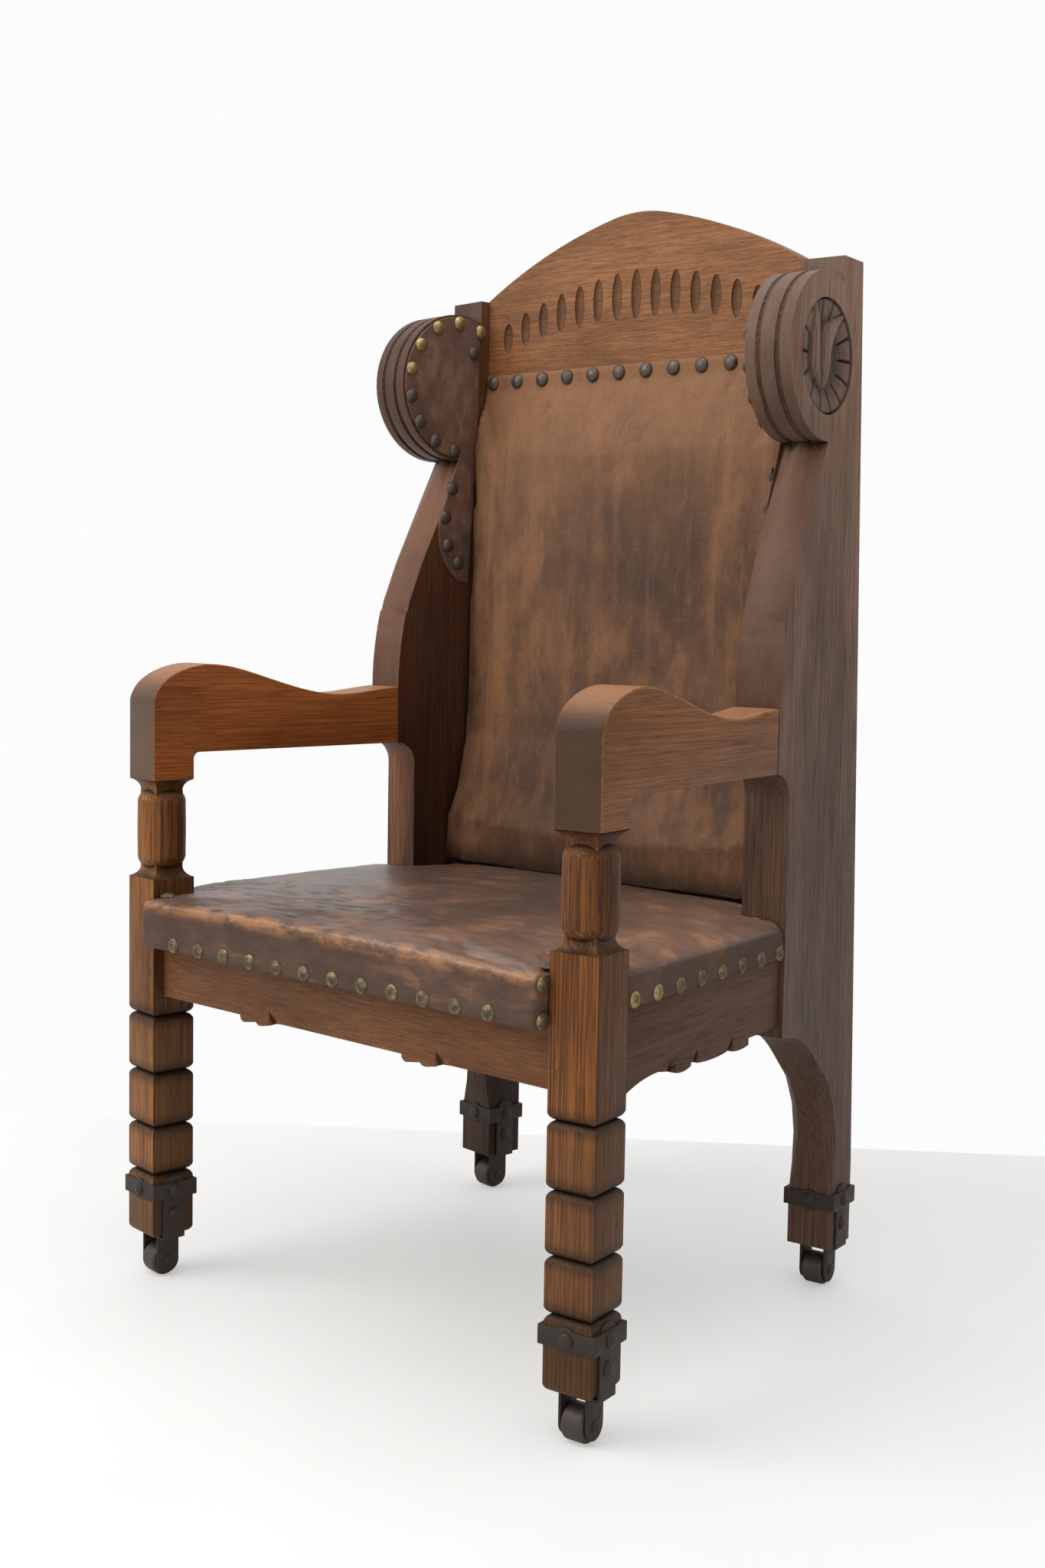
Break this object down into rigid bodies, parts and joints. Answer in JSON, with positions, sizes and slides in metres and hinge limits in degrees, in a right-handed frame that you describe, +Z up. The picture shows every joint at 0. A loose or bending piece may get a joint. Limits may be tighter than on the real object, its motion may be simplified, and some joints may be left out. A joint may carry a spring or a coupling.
{
  "type": "throne chair",
  "caption": "Oak throne chair with arched crest, scrolled wing boards, cushion-cut front posts, nailed leather seat and back, and iron roller casters.",
  "frame": {"origin": "on the floor under the middle of the chair's box", "axes": "+Z up, -Y towards the front of the chair, +X to the right seen from the front"},
  "size_m": [0.7432, 0.6244, 1.324],
  "materials": {
    "oak": "waxed, worn",
    "inner_oak": "plain",
    "leather": "aged, polished by use",
    "webbing": "woven",
    "brass": "tarnished",
    "bronze": "dark patina",
    "iron": "rusty",
    "roller": "worn"
  },
  "bodies": {
    "chair": {"arm_left": "oak", "arm_right": "oak", "back_nails": "bronze", "back_pad": "leather", "back_panel": "inner_oak", "corner_blocks": "inner_oak", "crest_rail": "oak", "front_left_caster_axle": "iron", "front_left_caster_band": "iron", "front_left_caster_fork": "iron", "front_left_caster_rivets": "iron", "front_post_left": "oak", "front_post_right": "oak", "front_right_caster_axle": "iron", "front_right_caster_band": "iron", "front_right_caster_fork": "iron", "front_right_caster_rivets": "iron", "front_seat_rail": "oak", "lower_back_rail": "inner_oak", "oak_pegs": "oak", "rear_left_caster_axle": "iron", "rear_left_caster_band": "iron", "rear_left_caster_fork": "iron", "rear_left_caster_rivets": "iron", "rear_right_caster_axle": "iron", "rear_right_caster_band": "iron", "rear_right_caster_fork": "iron", "rear_right_caster_rivets": "iron", "rear_seat_rail": "inner_oak", "seat_nails": "brass", "seat_pad": "leather", "seat_webbing": "webbing", "side_board_left": "oak", "side_board_right": "oak", "side_seat_rail_left": "oak", "side_seat_rail_right": "oak", "wing_leather_left": "leather", "wing_leather_right": "leather", "wing_nails_left": "bronze", "wing_nails_right": "bronze"},
    "front_left_roller": {"front_left_caster_wheel": "roller"},
    "front_right_roller": {"front_right_caster_wheel": "roller"},
    "rear_left_roller": {"rear_left_caster_wheel": "roller"},
    "rear_right_roller": {"rear_right_caster_wheel": "roller"}
  },
  "joints": [
    {"name": "front_left_wheel_spin", "type": "hinge", "parent": "chair", "child": "front_left_roller", "pos_m": [-0.33478, -0.25817, 0.019], "axis": [0.9934, -0.1149, 0], "continuous": true},
    {"name": "front_right_wheel_spin", "type": "hinge", "parent": "chair", "child": "front_right_roller", "pos_m": [0.33478, -0.25817, 0.019], "axis": [0.9934, 0.1149, 0], "continuous": true},
    {"name": "rear_left_wheel_spin", "type": "hinge", "parent": "chair", "child": "rear_left_roller", "pos_m": [-0.27272, 0.27825, 0.019], "axis": [0.9934, -0.1149, 0], "continuous": true},
    {"name": "rear_right_wheel_spin", "type": "hinge", "parent": "chair", "child": "rear_right_roller", "pos_m": [0.27272, 0.27825, 0.019], "axis": [0.9934, 0.1149, 0], "continuous": true}
  ]
}
